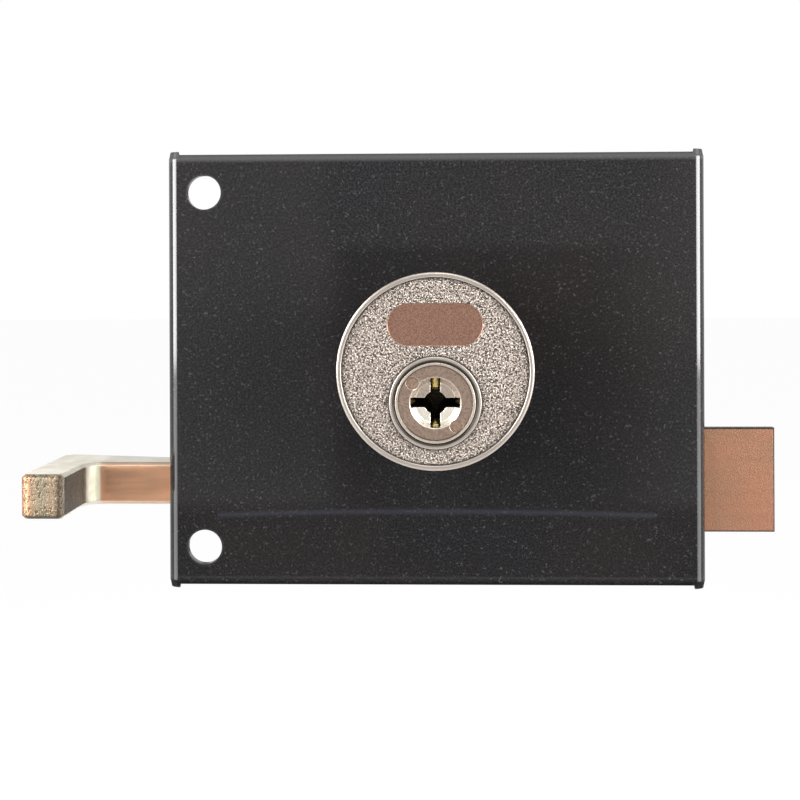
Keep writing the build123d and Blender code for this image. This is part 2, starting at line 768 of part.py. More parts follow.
# Latch guide: a strap bent round the bolt and welded by its feet to the back of the face plate.
guide_inner = latch_height / 2 + slide_gap
guide_base = latch_back - slide_gap - guide_sheet
guide_top = latch_z + guide_inner + guide_sheet / 2
guide_bottom = latch_z - guide_inner - guide_sheet / 2
guide_foot_depth = face_inside - guide_sheet / 2
with BuildPart() as latch_guide:
    with BuildSketch(across(cover_right - guide_length)):
        with BuildLine():
            Polyline(
                (-guide_foot_depth, guide_top + guide_foot),
                (-guide_foot_depth, guide_top),
                (-guide_base - guide_sheet / 2, guide_top),
                (-guide_base - guide_sheet / 2, guide_bottom),
                (-guide_foot_depth, guide_bottom),
                (-guide_foot_depth, guide_bottom - guide_foot),
            )
        trace(line_width=guide_sheet)
    extrude(amount=guide_length)
finish(latch_guide, "latch_guide")
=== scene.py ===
from math import pi

import bpy
import numpy as np
from mathutils import Matrix, Vector


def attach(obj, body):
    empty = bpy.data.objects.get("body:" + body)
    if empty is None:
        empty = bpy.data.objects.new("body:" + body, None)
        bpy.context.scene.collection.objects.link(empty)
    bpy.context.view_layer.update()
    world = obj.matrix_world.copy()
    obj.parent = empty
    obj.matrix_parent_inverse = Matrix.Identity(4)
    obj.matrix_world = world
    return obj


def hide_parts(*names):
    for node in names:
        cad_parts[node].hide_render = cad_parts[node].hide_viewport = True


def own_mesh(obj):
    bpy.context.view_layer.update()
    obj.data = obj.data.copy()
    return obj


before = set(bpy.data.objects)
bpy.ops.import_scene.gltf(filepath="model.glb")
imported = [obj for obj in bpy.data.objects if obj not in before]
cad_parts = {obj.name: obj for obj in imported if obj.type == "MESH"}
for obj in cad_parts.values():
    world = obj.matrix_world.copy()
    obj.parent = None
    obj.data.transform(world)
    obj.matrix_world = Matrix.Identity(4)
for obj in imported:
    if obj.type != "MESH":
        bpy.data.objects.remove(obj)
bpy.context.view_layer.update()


# The functions below build the node trees of the materials. A mask is a value from 0 to 1.


def new_group(name, inputs, outputs):
    """Opens a shader node group. inputs maps a name to (socket type, value), outputs a name to a type."""
    tree = bpy.data.node_groups.new(name, "ShaderNodeTree")
    for label, (kind, value) in inputs.items():
        socket = tree.interface.new_socket(name=label, in_out="INPUT", socket_type=kind)
        socket.default_value = value
    for label, kind in outputs.items():
        tree.interface.new_socket(name=label, in_out="OUTPUT", socket_type=kind)
    return tree, tree.nodes.new("NodeGroupInput"), tree.nodes.new("NodeGroupOutput")


def feed(tree, socket, value):
    """Gives a socket a value, which is a number, a tuple or another socket."""
    if isinstance(value, bpy.types.NodeSocket):
        tree.links.new(value, socket)
    else:
        socket.default_value = value


def use_group(tree, group, **values):
    """Places a node group in a tree, with a value for each input named. Returns its outputs."""
    node = tree.nodes.new("ShaderNodeGroup")
    node.node_tree = group
    for label, value in values.items():
        feed(tree, node.inputs[label], value)
    return node.outputs


def step(tree, operation, *operands):
    """Adds a Math node to a tree. Each operand is a number or a socket. Returns its output."""
    node = tree.nodes.new("ShaderNodeMath")
    node.operation = operation
    for socket, value in zip(node.inputs, operands):
        feed(tree, socket, value)
    return node.outputs[0]


def times(tree, first, *others):
    """The product of numbers and sockets."""
    for other in others:
        first = step(tree, "MULTIPLY", first, other)
    return first


def most(tree, first, second):
    """The larger of two numbers or sockets."""
    return step(tree, "MAXIMUM", first, second)


def rise(tree, low, mask, gain):
    """low where the mask is 0, and low + gain where it is 1."""
    return step(tree, "ADD", low, step(tree, "MULTIPLY", mask, gain))


def inverse(tree, mask):
    """0 where the mask is 1, and 1 where it is 0."""
    return step(tree, "SUBTRACT", 1.0, mask)


def away(tree, value, level):
    """How far a value is from a level, on either side."""
    return step(tree, "ABSOLUTE", step(tree, "SUBTRACT", value, level))


def ramp(tree, value, low, high):
    """Rises smoothly from 0 where value is low to 1 where it is high."""
    node = tree.nodes.new("ShaderNodeMapRange")
    node.interpolation_type = "SMOOTHSTEP"
    for socket, given in zip(node.inputs[:3], (value, low, high)):
        feed(tree, socket, given)
    return node.outputs[0]


def layered(tree, colour, *layers):
    """Lays colours over a first one. A layer is a mask, the share it covers where that is 1, and a colour."""
    for mask, share, over in layers:
        node = tree.nodes.new("ShaderNodeMix")
        node.data_type = "RGBA"
        covers = mask if share == 1.0 else times(tree, mask, share)
        for socket, value in zip((node.inputs[0], node.inputs[6], node.inputs[7]), (covers, colour, over)):
            feed(tree, socket, value)
        colour = node.outputs[2]
    return colour


def parts(tree, vector):
    """The X, Y and Z of a vector socket."""
    split = tree.nodes.new("ShaderNodeSeparateXYZ")
    tree.links.new(vector, split.inputs[0])
    return split.outputs


def object_place(tree):
    """The X, Y and Z of a point on the piece, in metres."""
    return parts(tree, tree.nodes.new("ShaderNodeTexCoord").outputs["Object"])


def facing(tree):
    """The X, Y and Z of the direction that the flat surface faces."""
    return parts(tree, tree.nodes.new("ShaderNodeNewGeometry").outputs["True Normal"])


# Speckle: noise whose grain is Size metres across, cut so that about Share of the surface is 1.
speckle, speckle_in, speckle_out = new_group(
    "speckle",
    {
        "Size": ("NodeSocketFloat", 0.0005),
        "Stretch": ("NodeSocketVector", (1.0, 1.0, 1.0)),
        "Share": ("NodeSocketFloat", 0.5),
        "Softness": ("NodeSocketFloat", 0.15),
    },
    {"Mask": "NodeSocketFloat"},
)
speckle_map = speckle.nodes.new("ShaderNodeMapping")
speckle_map.vector_type = "POINT"
speckle.links.new(speckle.nodes.new("ShaderNodeTexCoord").outputs["Object"], speckle_map.inputs["Vector"])
speckle.links.new(speckle_in.outputs["Stretch"], speckle_map.inputs["Scale"])
speckle_noise = speckle.nodes.new("ShaderNodeTexNoise")
speckle_noise.inputs["Detail"].default_value = 3.0
speckle.links.new(speckle_map.outputs[0], speckle_noise.inputs["Vector"])
speckle.links.new(step(speckle, "DIVIDE", 1.0, speckle_in.outputs["Size"]), speckle_noise.inputs["Scale"])
noise_cut_at_none = 0.72
noise_cut_span = 0.44
speckle_cut = rise(speckle, noise_cut_at_none, speckle_in.outputs["Share"], -noise_cut_span)
speckle.links.new(
    ramp(
        speckle, speckle_noise.outputs[0],
        step(speckle, "SUBTRACT", speckle_cut, speckle_in.outputs["Softness"]),
        step(speckle, "ADD", speckle_cut, speckle_in.outputs["Softness"]),
    ),
    speckle_out.inputs["Mask"],
)

# Edge: how far the surface round a point turns within Radius metres, from 0 on a flat to 1 on an edge.
# Its Normal is the rounded one, so a cut edge catches the light as a broken edge does.
edge, edge_in, edge_out = new_group(
    "edge",
    {"Radius": ("NodeSocketFloat", 0.0004), "Reach": ("NodeSocketFloat", 0.2)},
    {"Mask": "NodeSocketFloat", "Normal": "NodeSocketVector"},
)
least_turn = 0.01
edge_bevel = edge.nodes.new("ShaderNodeBevel")
edge_bevel.samples = 6
edge.links.new(edge_in.outputs["Radius"], edge_bevel.inputs["Radius"])
edge_dot = edge.nodes.new("ShaderNodeVectorMath")
edge_dot.operation = "DOT_PRODUCT"
edge.links.new(edge_bevel.outputs[0], edge_dot.inputs[0])
edge.links.new(edge.nodes.new("ShaderNodeNewGeometry").outputs["True Normal"], edge_dot.inputs[1])
edge_turn = inverse(edge, edge_dot.outputs["Value"])
edge.links.new(ramp(edge, edge_turn, least_turn, edge_in.outputs["Reach"]), edge_out.inputs["Mask"])
edge.links.new(edge_bevel.outputs[0], edge_out.inputs["Normal"])

# Band: 1 within Margin of Level along a coordinate, and 0 elsewhere.
band, band_in, band_out = new_group(
    "band",
    {
        "Value": ("NodeSocketFloat", 0.0),
        "Level": ("NodeSocketFloat", 0.0),
        "Margin": ("NodeSocketFloat", 0.001),
    },
    {"Mask": "NodeSocketFloat"},
)
band_off = away(band, band_in.outputs["Value"], band_in.outputs["Level"])
band.links.new(step(band, "LESS_THAN", band_off, band_in.outputs["Margin"]), band_out.inputs["Mask"])

# Axis distance: how far a point is from a line along Y that runs at Axis Height above the middle.
axis_distance, axis_in, axis_out = new_group(
    "axis_distance",
    {
        "Across": ("NodeSocketFloat", 0.0),
        "Up": ("NodeSocketFloat", 0.0),
        "Axis Height": ("NodeSocketFloat", 0.0),
    },
    {"Distance": "NodeSocketFloat"},
)
axis_rise = step(axis_distance, "SUBTRACT", axis_in.outputs["Up"], axis_in.outputs["Axis Height"])
axis_square = step(
    axis_distance, "ADD", times(axis_distance, axis_in.outputs["Across"], axis_in.outputs["Across"]),
    times(axis_distance, axis_rise, axis_rise))
axis_distance.links.new(step(axis_distance, "SQRT", axis_square), axis_out.inputs["Distance"])


def new_finish(name, metallic):
    """A material with its Principled BSDF and Output. Returns the material, its tree and the BSDF."""
    material = bpy.data.materials.new(name)
    material.use_nodes = True
    shader = material.node_tree.nodes["Principled BSDF"]
    shader.inputs["Metallic"].default_value = metallic
    return material, material.node_tree, shader


def surface(tree, shader, colour, roughness, mask, gain):
    """Gives the shader a colour and a roughness, which rises by gain where the mask is 1."""
    tree.links.new(colour, shader.inputs["Base Color"])
    tree.links.new(rise(tree, roughness, mask, gain), shader.inputs["Roughness"])


def relief(tree, shader, height, depth, normal):
    """Raises the surface by height times depth metres on top of the given normal."""
    bump = tree.nodes.new("ShaderNodeBump")
    bump.inputs["Strength"].default_value = 1.0
    bump.inputs["Distance"].default_value = depth
    tree.links.new(height, bump.inputs["Height"])
    tree.links.new(normal, bump.inputs["Normal"])
    tree.links.new(bump.outputs[0], shader.inputs["Normal"])


def dress(material, *nodes):
    """Gives the material to CAD nodes."""
    for node in nodes:
        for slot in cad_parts[node].material_slots:
            slot.material = material


# The case is a folded steel face plate with a pressed steel cover behind it. Both are sprayed with
# semi-gloss black paint, which has a fine speckle and goes grey on its edges. A lighter grey band along
# the top edge, a faint line near the bottom edge and a faint bluish arched line across the lower part
# are painted reflections. Above a level the paint is lighter grey, a painted reflection speckled with
# dust, and towards the left and right edges it is lighter grey, speckled with dust, too. Beside the
# cylinder on its right the coat is weakened as painted shade. A span is where a mask is 0 and where it
# is 1, in metres.

paint_black = (0.0028, 0.0027, 0.0031, 1.0)
# Dust grey, also used as the painted reflection above a level.
paint_dust_and_sheen_grey = (0.0185, 0.0182, 0.0188, 1.0)
paint_brown = (0.0050, 0.0036, 0.0034, 1.0)
paint_rubbed = (0.0560, 0.0550, 0.0580, 1.0)
# A grey for the painted reflections along the top edge and near the bottom edge.
paint_edge_reflection_grey = (0.0420, 0.0430, 0.0420, 1.0)
# A bluish grey for the painted reflection of the arched line across the lower part.
reflection_line_grey = (0.0230, 0.0250, 0.0330, 1.0)
paint_speck_grey = (0.0700, 0.0700, 0.0700, 1.0)
nub_coat = 0.1
flat_coat = 0.27
fold_coat = 1.0
coat_roughness = 0.11
fold_begins = (0.08, 0.28)
fold_ends = (0.99, 0.90)
nub_foot_span = (0.0398, 0.0394)
top_edge_span = (0.0387, 0.0398)
bottom_reflection_height = -0.0390
bottom_reflection_span = (0.0004, 0.0)
lower_reflection_height = -0.0266
lower_reflection_span = (0.0008, 0.0)
lower_reflection_arch = 0.0007
lower_reflection_half_length = 0.0410
upper_reflection_span = (0.0211, 0.0243)
left_haze_span = (-0.0150, -0.0230)
right_haze_span = (0.0240, 0.0520)
side_haze_foot = (-0.0276, -0.0236)
shade_span = (0.0290, 0.0200)
shade_side = (0.0, 0.012)
shade_depth = 0.3

case_paint, paint, paint_shader = new_finish("case_paint", 0.0)
paint_shader.inputs["Specular IOR Level"].default_value = 0.0
paint_shader.inputs["Coat Roughness"].default_value = coat_roughness
paint_place = object_place(paint)
paint_x, paint_z = paint_place["X"], paint_place["Z"]
paint_dust = use_group(paint, speckle, Size=0.0004, Share=0.42, Softness=0.16)["Mask"]
paint_cloud = use_group(paint, speckle, Size=0.030, Share=0.45, Softness=0.22)["Mask"]
paint_specks = use_group(paint, speckle, Size=0.00045, Share=0.12, Softness=0.05)["Mask"]
paint_edge = use_group(paint, edge, Radius=0.0009, Reach=0.28)

sideways = step(paint, "ABSOLUTE", facing(paint)["X"])
on_fold = times(paint, ramp(paint, sideways, *fold_begins), ramp(paint, sideways, *fold_ends))
below_nub = ramp(paint, step(paint, "ABSOLUTE", paint_z), *nub_foot_span)
from_middle = use_group(paint, axis_distance, Across=paint_x, Up=paint_z)["Distance"]
# Beside the cylinder on its right the coat is weakened: a painted shade.
cylinder_shade = times(paint, ramp(paint, from_middle, *shade_span), ramp(paint, paint_x, *shade_side))
paint_coat = times(
    paint, rise(paint, nub_coat, below_nub, 1.0 - nub_coat),
    rise(paint, flat_coat, on_fold, fold_coat - flat_coat), rise(paint, 1.0, cylinder_shade, -shade_depth))
paint.links.new(paint_coat, paint_shader.inputs["Coat Weight"])

# Above a level the paint is lighter grey, speckled with dust: a painted reflection.
upper_reflection_and_dust = times(paint, ramp(paint, paint_z, *upper_reflection_span), rise(paint, 0.08, paint_dust, 0.30))
left_haze = times(paint, ramp(paint, paint_x, *left_haze_span), rise(paint, 0.175, paint_dust, 0.22))
right_haze = times(paint, ramp(paint, paint_x, *right_haze_span), rise(paint, 0.20, paint_dust, 0.22))
side_haze = times(paint, most(paint, left_haze, right_haze), ramp(paint, paint_z, *side_haze_foot))
# A faint bluish arched line across the lower part is a painted reflection.
reflection_arch = times(paint, paint_x, paint_x, lower_reflection_arch / lower_reflection_half_length ** 2)
from_lower_reflection = away(paint, step(paint, "ADD", paint_z, reflection_arch), lower_reflection_height)
within_reflection = step(paint, "LESS_THAN", step(paint, "ABSOLUTE", paint_x), lower_reflection_half_length)
lower_reflection_line = times(paint, ramp(paint, from_lower_reflection, *lower_reflection_span), within_reflection)
# A lighter grey band along the top edge and a faint line near the bottom edge: painted reflections.
top_edge_reflection = times(paint, ramp(paint, paint_z, *top_edge_span), 0.75)
bottom_reflection_line = times(paint, ramp(paint, away(paint, paint_z, bottom_reflection_height), *bottom_reflection_span), 0.12)
paint_colour = layered(
    paint, paint_black,
    (paint_cloud, 1.0, paint_brown),
    (paint_dust, 0.26, paint_dust_and_sheen_grey),
    (most(paint, upper_reflection_and_dust, side_haze), 1.0, paint_dust_and_sheen_grey),
    (paint_specks, 0.3, paint_speck_grey),
    (lower_reflection_line, 0.30, reflection_line_grey),
    (most(paint, top_edge_reflection, bottom_reflection_line), 1.0, paint_edge_reflection_grey),
    (paint_edge["Mask"], 0.5, paint_rubbed),
)
surface(paint, paint_shader, paint_colour, 0.30, paint_dust, 0.10)
relief(paint, paint_shader, paint_dust, 0.000012, paint_edge["Normal"])
dress(case_paint, "face_plate", "back_cover")

# The posts, the screws, the saddle, the guide, the cam and the retractor are plain steel parts with
# bright zinc plating. They are pressed or turned, so they have fine marks and a slight cloudiness.

zinc_bright = (0.47, 0.47, 0.50, 1.0)
zinc_clouded = (0.30, 0.30, 0.33, 1.0)

inner_zinc, zinc, zinc_shader = new_finish("inner_zinc", 1.0)
zinc_cloud = use_group(zinc, speckle, Size=0.003, Share=0.5, Softness=0.2)["Mask"]
zinc_marks = use_group(zinc, speckle, Size=0.0004, Stretch=(0.08, 1.0, 1.0), Share=0.5, Softness=0.2)["Mask"]
zinc_edge = use_group(zinc, edge, Radius=0.0003, Reach=0.25)
zinc_colour = layered(zinc, zinc_bright, (zinc_cloud, 1.0, zinc_clouded))
surface(zinc, zinc_shader, zinc_colour, 0.32, zinc_marks, 0.12)
relief(zinc, zinc_shader, zinc_marks, 0.000006, zinc_edge["Normal"])
dress(
    inner_zinc, "cover_posts", "cover_screws", "cylinder_saddle", "housing_screws", "cam_arm", "cam_pin",
    "retractor", "retractor_studs", "latch_pins", "collar", "collar_pin", "spring_seat", "latch_guide",
)

# The cylinder housing is a casting with satin nickel-bronze plating. Its sunken face keeps the coarse
# grain of the mould between a bright machined rim and the raised ring, and a bare oval is polished
# down to the copper colour below the plating. Bright glints on the grain and along the edges are painted
# highlights. Painted shade darkens thin lines along the foot of the rim and round the ring, and the
# mouth round the plug.

housing_satin = (0.205, 0.172, 0.150, 1.0)
housing_hollow = (0.016, 0.012, 0.010, 1.0)
housing_glint = (0.52, 0.48, 0.43, 1.0)
housing_machined = (0.34, 0.30, 0.265, 1.0)
# The dark colour of the painted shade lines.
housing_painted_shade = (0.022, 0.018, 0.015, 1.0)
badge_copper = (0.285, 0.165, 0.120, 1.0)
badge_dark = (0.170, 0.092, 0.066, 1.0)
housing_axis_height = 0.0010
plug_axis_height = -0.0044
rim_shade_span = (0.01565, 0.01615)
ring_shade_span = (0.0084, 0.0079)
mouth_shade_span = (0.00752, 0.00732)
grain_floor = -0.0395
badge_floor = -0.0392
floor_margin = 0.00014
badge_centre = (0.0, 0.0090)
badge_half_size = (0.0084, 0.0038)

housing_bronze, bronze, bronze_shader = new_finish("housing_bronze", 1.0)
bronze_x, bronze_y, bronze_z = object_place(bronze)
on_grain = use_group(bronze, band, Value=bronze_y, Level=grain_floor, Margin=floor_margin)["Mask"]
on_badge = times(bronze, *(
    use_group(bronze, band, Value=value, Level=level, Margin=margin)["Mask"]
    for value, level, margin in (
        (bronze_y, badge_floor, floor_margin),
        (bronze_x, badge_centre[0], badge_half_size[0]),
        (bronze_z, badge_centre[1], badge_half_size[1]),
    )
))
grain_coarse = use_group(bronze, speckle, Size=0.00034, Share=0.52, Softness=0.10)["Mask"]
grain_fine = use_group(bronze, speckle, Size=0.00022, Share=0.48, Softness=0.14)["Mask"]
# Glints: bright speckles painted on the grain as highlights.
grain_glints = use_group(bronze, speckle, Size=0.00028, Share=0.30, Softness=0.06)["Mask"]
bronze_edge = use_group(bronze, edge, Radius=0.0003, Reach=0.25)
from_housing_axis, from_plug_axis = (
    use_group(bronze, axis_distance, Across=bronze_x, Up=bronze_z, **{"Axis Height": height})["Distance"]
    for height in (housing_axis_height, plug_axis_height)
)
# Painted shade: dark lines at the foot of the rim and of the ring, and in the mouth round the plug.
rim_shade = ramp(bronze, from_housing_axis, *rim_shade_span)
ring_shade = ramp(bronze, from_plug_axis, *ring_shade_span)
mouth_shade = ramp(bronze, from_plug_axis, *mouth_shade_span)
floor_shade = times(bronze, most(bronze, rim_shade, ring_shade), on_grain)
grained = layered(
    bronze, housing_satin, (grain_coarse, 0.90, housing_hollow), (grain_glints, 0.75, housing_glint))
worn_badge = layered(bronze, badge_copper, (grain_fine, 1.0, badge_dark))
bronze_colour = layered(
    bronze, housing_machined,
    (grain_fine, 0.20, housing_satin),
    (bronze_edge["Mask"], 0.7, housing_glint),
    (on_grain, 1.0, grained),
    (on_badge, 1.0, worn_badge),
    (most(bronze, floor_shade, mouth_shade), 0.9, housing_painted_shade),
)
surface(bronze, bronze_shader, bronze_colour, 0.34, on_grain, 0.12)
grain_depth = times(
    bronze, step(bronze, "ADD", grain_fine, grain_coarse), rise(bronze, 0.06, on_grain, 0.94), -1.0)
relief(bronze, bronze_shader, grain_depth, 0.00008, bronze_edge["Normal"])
dress(housing_bronze, "cylinder_housing")

# The plug is turned from nickel-plated brass, rubbed through to a copper colour on its flat face by
# keys. The dish round the keyway stays bright below, and its upper half is painted darker copper as
# shade. The rim stays bright, and the dark line inside it is painted shade. The inside of the keyway is
# painted dark as shade.

plug_bright = (0.70, 0.66, 0.57, 1.0)
plug_copper = (0.25, 0.182, 0.143, 1.0)
plug_painted_shade = (0.030, 0.024, 0.018, 1.0)
dish_edge_span = (0.0042, 0.0046)
upper_shade_span = (-0.0056, -0.0036)
plug_rim_span = (0.00645, 0.00655)
rim_shade_line_span = (0.00623, 0.00637)
keyway_shade_span = (-0.0384, -0.0372)

plug_brass, brass, brass_shader = new_finish("plug_brass", 1.0)
brass_x, brass_y, brass_z = object_place(brass)
from_axis = use_group(
    brass, axis_distance, Across=brass_x, Up=brass_z, **{"Axis Height": plug_axis_height})["Distance"]
plug_turning = use_group(brass, speckle, Size=0.00030, Share=0.45, Softness=0.2)["Mask"]
plug_edge = use_group(brass, edge, Radius=0.00018, Reach=0.3)
outside_dish = ramp(brass, from_axis, *dish_edge_span)
# The upper half of the face, and so of the dish, is painted darker copper as shade.
upper_painted_shade = times(brass, ramp(brass, brass_z, *upper_shade_span), 0.75)
on_rim = ramp(brass, from_axis, *plug_rim_span)
# A dark line inside the rim is painted shade.
rim_shade_line = times(brass, ramp(brass, from_axis, *rim_shade_line_span), inverse(brass, on_rim), 0.85)
kept_bright = most(brass, times(brass, plug_edge["Mask"], 0.7), times(brass, on_rim, 0.45))
rubbed_and_shaded = times(brass, most(brass, outside_dish, upper_painted_shade), inverse(brass, kept_bright))
# The inside of the keyway is painted dark as shade.
keyway_shade = ramp(brass, brass_y, *keyway_shade_span)
brass_colour = layered(
    brass, plug_bright,
    (rubbed_and_shaded, 1.0, plug_copper),
    (plug_turning, 0.3, plug_copper),
    (most(brass, keyway_shade, rim_shade_line), 1.0, plug_painted_shade),
)
surface(brass, brass_shader, brass_colour, 0.26, plug_turning, 0.14)
relief(brass, brass_shader, plug_turning, 0.000015, plug_edge["Normal"])
dress(plug_brass, "plug")

# Two hardened steel pins are staked into the plug's face. Their ends are dull and coppery.

pin_end_copper = (0.26, 0.180, 0.135, 1.0)
pin_end_dark = (0.15, 0.100, 0.074, 1.0)

staked_pin, staked, staked_shader = new_finish("staked_pin", 1.0)
staked_marks = use_group(staked, speckle, Size=0.00035, Share=0.5, Softness=0.2)["Mask"]
staked_edge = use_group(staked, edge, Radius=0.00015, Reach=0.3)
staked_colour = layered(staked, pin_end_copper, (staked_marks, 1.0, pin_end_dark))
surface(staked, staked_shader, staked_colour, 0.38, staked_marks, 0.1)
relief(staked, staked_shader, staked_marks, 0.00002, staked_edge["Normal"])
dress(staked_pin, "face_pins")

# The key pins and the driver pins are turned brass. The tips of the key pins show in the keyway, and
# those of the two rows at its sides are painted dark as shade.

tumbler_brass = (0.72, 0.60, 0.24, 1.0)
tumbler_shade = (0.48, 0.38, 0.13, 1.0)
tumbler_painted_shade = (0.040, 0.032, 0.015, 1.0)
side_row_span = (0.0, 0.0004)

turned_brass, turned, turned_shader = new_finish("turned_brass", 1.0)
turned_place = object_place(turned)
turned_marks = use_group(turned, speckle, Size=0.00025, Share=0.45, Softness=0.2)["Mask"]
turned_edge = use_group(turned, edge, Radius=0.00012, Reach=0.3)
turned_across = step(turned, "ABSOLUTE", turned_place["X"])
# The tips in the two side rows are painted dark as shade.
more_across_than_up = step(
    turned, "SUBTRACT", turned_across, away(turned, turned_place["Z"], plug_axis_height))
shaded_side_rows = ramp(turned, more_across_than_up, *side_row_span)
turned_colour = layered(
    turned, tumbler_brass, (turned_marks, 1.0, tumbler_shade), (shaded_side_rows, 1.0, tumbler_painted_shade))
surface(turned, turned_shader, turned_colour, 0.24, turned_marks, 0.1)
relief(turned, turned_shader, turned_marks, 0.000008, turned_edge["Normal"])
dress(turned_brass, "key_pins", "driver_pins")

# The springs are hard-drawn steel wire. The latch spring is a coil round the draw bar, the clip is a
# flat open ring, and a small coil of fine wire sits behind each driver pin in its chamber. A row of
# chambers is its direction, in half turns from the latch's side, and where its coils start and end.

wire_bright = (0.42, 0.43, 0.46, 1.0)
wire_dark = (0.22, 0.22, 0.25, 1.0)
chamber_rows = (
    (0.0, 0.010694, 0.015219),
    (0.5, 0.013520, 0.021500),
    (1.0, 0.010694, 0.015219),
    (1.5, 0.008660, 0.010700),
)
chamber_depths = (0.036, 0.032, 0.028)
pin_coil_radius = 0.00092
pin_wire_radius = 0.00016
pin_coil_turns = 6
pin_coil_grid = (18, 6)
latch_coil_start = -0.0459
latch_coil_end = -0.0140
latch_coil_axis = (-0.0110, -0.022203)
latch_coil_radius = 0.005907
latch_wire_radius = 0.0004
latch_coil_turns = 9
latch_coil_grid = (36, 10)

wire_steel, wire, wire_shader = new_finish("wire_steel", 1.0)
wire_marks = use_group(wire, speckle, Size=0.0005, Share=0.5, Softness=0.2)["Mask"]
wire_edge = use_group(wire, edge, Radius=0.00012, Reach=0.3)
wire_colour = layered(wire, wire_bright, (wire_marks, 1.0, wire_dark))
surface(wire, wire_shader, wire_colour, 0.25, wire_marks, 0.15)
relief(wire, wire_shader, wire_marks, 0.000006, wire_edge["Normal"])
dress(wire_steel, "plug_clip")


def wind_coil(foot, along, side, length, turns, coil_radius, wire_radius, grid):
    """The points of a wire wound into a coil, as an array of rings, points round the wire, and X, Y, Z.
    The coil runs length along the unit vector along, starting at foot, and circles it turns times at
    coil_radius: outward = side * cos a + third * sin a, with a = 2 pi * turns * t and t from 0 to 1. A
    ring is wire_radius * (outward * cos b + along * sin b). grid is rings to a turn, points to a ring."""
    third = np.cross(along, side)
    t = np.linspace(0.0, 1.0, turns * grid[0] + 1)[:, None, None]
    a = 2 * pi * turns * t
    b = np.linspace(0.0, 2 * pi, grid[1], endpoint=False)[None, :, None]
    outward = np.cos(a) * side + np.sin(a) * third
    middle = foot + along * (wire_radius + t * (length - 2 * wire_radius)) + outward * coil_radius
    return middle + wire_radius * (np.cos(b) * outward + np.sin(b) * along)


def add_wire(name, stretches, body, node):
    """A piece of wire made of stretches of rings, each with a flat cap on both ends. It rides on a body and
    stands for a CAD node. Returns the piece."""
    faces = []
    first = 0
    for rings in stretches:
        count, round_wire = rings.shape[:2]
        ring = first + np.arange(count - 1)[:, None] * round_wire
        here = np.arange(round_wire)[None, :]
        after = (here + 1) % round_wire
        corners = (ring + here, ring + after, ring + round_wire + after, ring + round_wire + here)
        faces += np.stack(corners, axis=-1).reshape(-1, 4).tolist()
        faces.append(list(range(first, first + round_wire))[::-1])
        first += count * round_wire
        faces.append(list(range(first - round_wire, first)))
    mesh = bpy.data.meshes.new(name)
    mesh.from_pydata(np.concatenate([rings.reshape(-1, 3) for rings in stretches]).tolist(), [], faces)
    mesh.polygons.foreach_set("use_smooth", np.ones(len(mesh.polygons), dtype=bool))
    mesh.materials.append(wire_steel)
    piece = bpy.data.objects.new(name, mesh)
    bpy.context.collection.objects.link(piece)
    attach(piece, body)
    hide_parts(node)
    return piece


pin_coils = []
for half_turns, coil_start, coil_end in chamber_rows:
    ray = np.array((np.cos(pi * half_turns), 0.0, np.sin(pi * half_turns)))
    for depth in chamber_depths:
        foot = np.array((0.0, -depth, plug_axis_height)) + ray * coil_start
        pin_coils.append(wind_coil(
            foot, ray, np.array((0.0, 1.0, 0.0)), coil_end - coil_start, pin_coil_turns, pin_coil_radius,
            pin_wire_radius, pin_coil_grid))
add_wire("pin_coils", pin_coils, "case", "driver_springs")

# The latch coil is one winding in two halves that meet end to end. The half at the seat rides on the
# case, and the other half rides on the retractor and goes with it when the key slides the retractor.

latch_coil_foot = np.array((latch_coil_start, *latch_coil_axis))
latch_coil = wind_coil(
    latch_coil_foot, np.array((1.0, 0.0, 0.0)), np.array((0.0, 0.0, 1.0)), latch_coil_end - latch_coil_start,
    latch_coil_turns, latch_coil_radius, latch_wire_radius, latch_coil_grid)
middle_ring = len(latch_coil) // 2
seat_half = add_wire("latch_coil_at_seat", [latch_coil[:middle_ring + 1]], "case", "latch_spring")
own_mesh(seat_half)
collar_half = add_wire("latch_coil_at_collar", [latch_coil[middle_ring:]], "retractor", "latch_spring")
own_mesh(collar_half)

# The latch bolt is a block of sintered bronze with a flat plate of the same pinned on its room side.
# Both have a plain copper-brown colour and a fine even grain, with thin dark lines of painted shade
# along their edges. The plate's own sides are painted dark all round as shade.

bolt_bronze = (0.166, 0.084, 0.051, 1.0)
bolt_grain = (0.124, 0.058, 0.034, 1.0)
bolt_edge_shade = (0.016, 0.012, 0.010, 1.0)
bolt_red = (0.205, 0.078, 0.046, 1.0)
bolt_olive = (0.105, 0.070, 0.040, 1.0)
plate_back = -0.0150
front_least_facing = -0.9

latch_bronze, latch, latch_shader = new_finish("latch_bronze", 0.85)
latch_grain = use_group(latch, speckle, Size=0.00028, Share=0.45, Softness=0.2)["Mask"]
latch_marks = use_group(
    latch, speckle, Size=0.0012, Stretch=(0.06, 1.0, 1.0), Share=0.5, Softness=0.2)["Mask"]
latch_cloud = use_group(latch, speckle, Size=0.008, Share=0.5, Softness=0.22)["Mask"]
latch_edge = use_group(latch, edge, Radius=0.0003, Reach=0.035)
